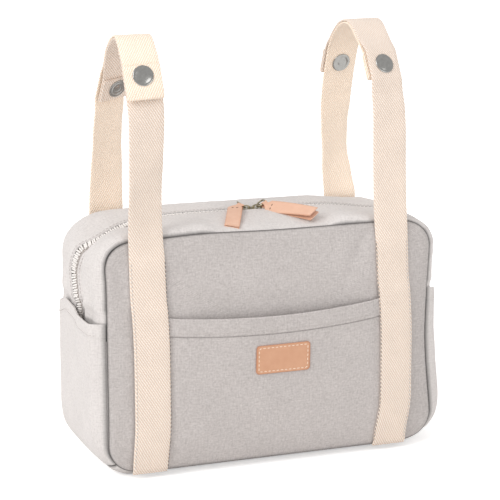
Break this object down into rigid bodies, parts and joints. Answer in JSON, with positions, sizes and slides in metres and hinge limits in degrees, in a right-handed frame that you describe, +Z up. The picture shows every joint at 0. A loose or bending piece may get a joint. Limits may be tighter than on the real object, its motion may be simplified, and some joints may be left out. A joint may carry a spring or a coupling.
{
  "type": "stroller organizer",
  "caption": "Box-shaped cloth organizer bag with a two-way top zip, front and side slip pockets, and two webbing loops closed by press studs to hang it from a stroller handle.",
  "frame": {"origin": "middle of the flat underside on which the bag stands", "axes": "+Z up along the straps, -Y the front with the slip pocket, +X the bag's right as seen from the front"},
  "size_m": [0.3363, 0.1522, 0.3654],
  "materials": {
    "canvas": "matt woven cotton canvas",
    "gusset_canvas": "matt woven cotton canvas",
    "webbing": "twill-woven cotton webbing",
    "zip_tape": "woven tape",
    "zip_nylon": "satin nylon",
    "leather": "smooth matt leather",
    "pull_leather": "smooth matt leather",
    "polished_steel": "polished",
    "aged_brass": "antique plated"
  },
  "bodies": {
    "bag": {"front_panel": "canvas", "back_panel": "canvas", "front_pocket": "canvas", "top_band_front": "gusset_canvas", "top_band_back": "gusset_canvas", "side_band_left": "gusset_canvas", "side_band_right": "gusset_canvas", "bottom_band": "gusset_canvas", "side_pocket_left": "gusset_canvas", "side_pocket_right": "gusset_canvas", "leather_label": "leather", "zip_tape_front": "zip_tape", "zip_tape_back": "zip_tape", "zip_chain_front": "zip_nylon", "zip_chain_back": "zip_nylon", "strap_left_front": "webbing", "strap_left_back": "webbing", "strap_right_front": "webbing", "strap_right_back": "webbing", "snap_left_front_cap": "polished_steel", "snap_left_front_socket": "polished_steel", "snap_left_front_stud": "polished_steel", "snap_left_front_post": "polished_steel", "snap_left_back_cap": "polished_steel", "snap_left_back_socket": "polished_steel", "snap_left_back_stud": "polished_steel", "snap_left_back_post": "polished_steel", "snap_right_front_cap": "polished_steel", "snap_right_front_socket": "polished_steel", "snap_right_front_stud": "polished_steel", "snap_right_front_post": "polished_steel", "snap_right_back_cap": "polished_steel", "snap_right_back_socket": "polished_steel", "snap_right_back_stud": "polished_steel", "snap_right_back_post": "polished_steel"},
    "zip_slider_left": {"zip_slider_left": "aged_brass"},
    "zip_ring_left": {"zip_ring_left": "aged_brass"},
    "zip_pull_left": {"zip_pull_left": "pull_leather"},
    "zip_slider_right": {"zip_slider_right": "aged_brass"},
    "zip_ring_right": {"zip_ring_right": "aged_brass"},
    "zip_pull_right": {"zip_pull_right": "pull_leather"}
  },
  "joints": [
    {"name": "slider_left_slide", "type": "slide", "parent": "bag", "child": "zip_slider_left", "axis": [-1, 0, 0], "range_m": [0, 0.105]},
    {"name": "slider_right_slide", "type": "slide", "parent": "bag", "child": "zip_slider_right", "axis": [1, 0, 0], "range_m": [0, 0.06]},
    {"name": "ring_left_hinge", "type": "hinge", "parent": "zip_slider_left", "child": "zip_ring_left", "pos_m": [-0.00365, 0, 0.2098], "axis": [0, 1, 0], "range_deg": [0, 60]},
    {"name": "ring_right_hinge", "type": "hinge", "parent": "zip_slider_right", "child": "zip_ring_right", "pos_m": [0.00765, 0, 0.2098], "axis": [0, -1, 0], "range_deg": [0, 60]},
    {"name": "pull_left_hinge", "type": "hinge", "parent": "zip_ring_left", "child": "zip_pull_left", "pos_m": [-0.00866, -0.00348, 0.21183], "axis": [-0.8597, 0.3746, 0.3473], "range_deg": [0, 60]},
    {"name": "pull_right_hinge", "type": "hinge", "parent": "zip_ring_right", "child": "zip_pull_right", "pos_m": [0.0134, -0.00303, 0.21212], "axis": [-0.7501, -0.5878, -0.3031], "range_deg": [0, 60]}
  ]
}
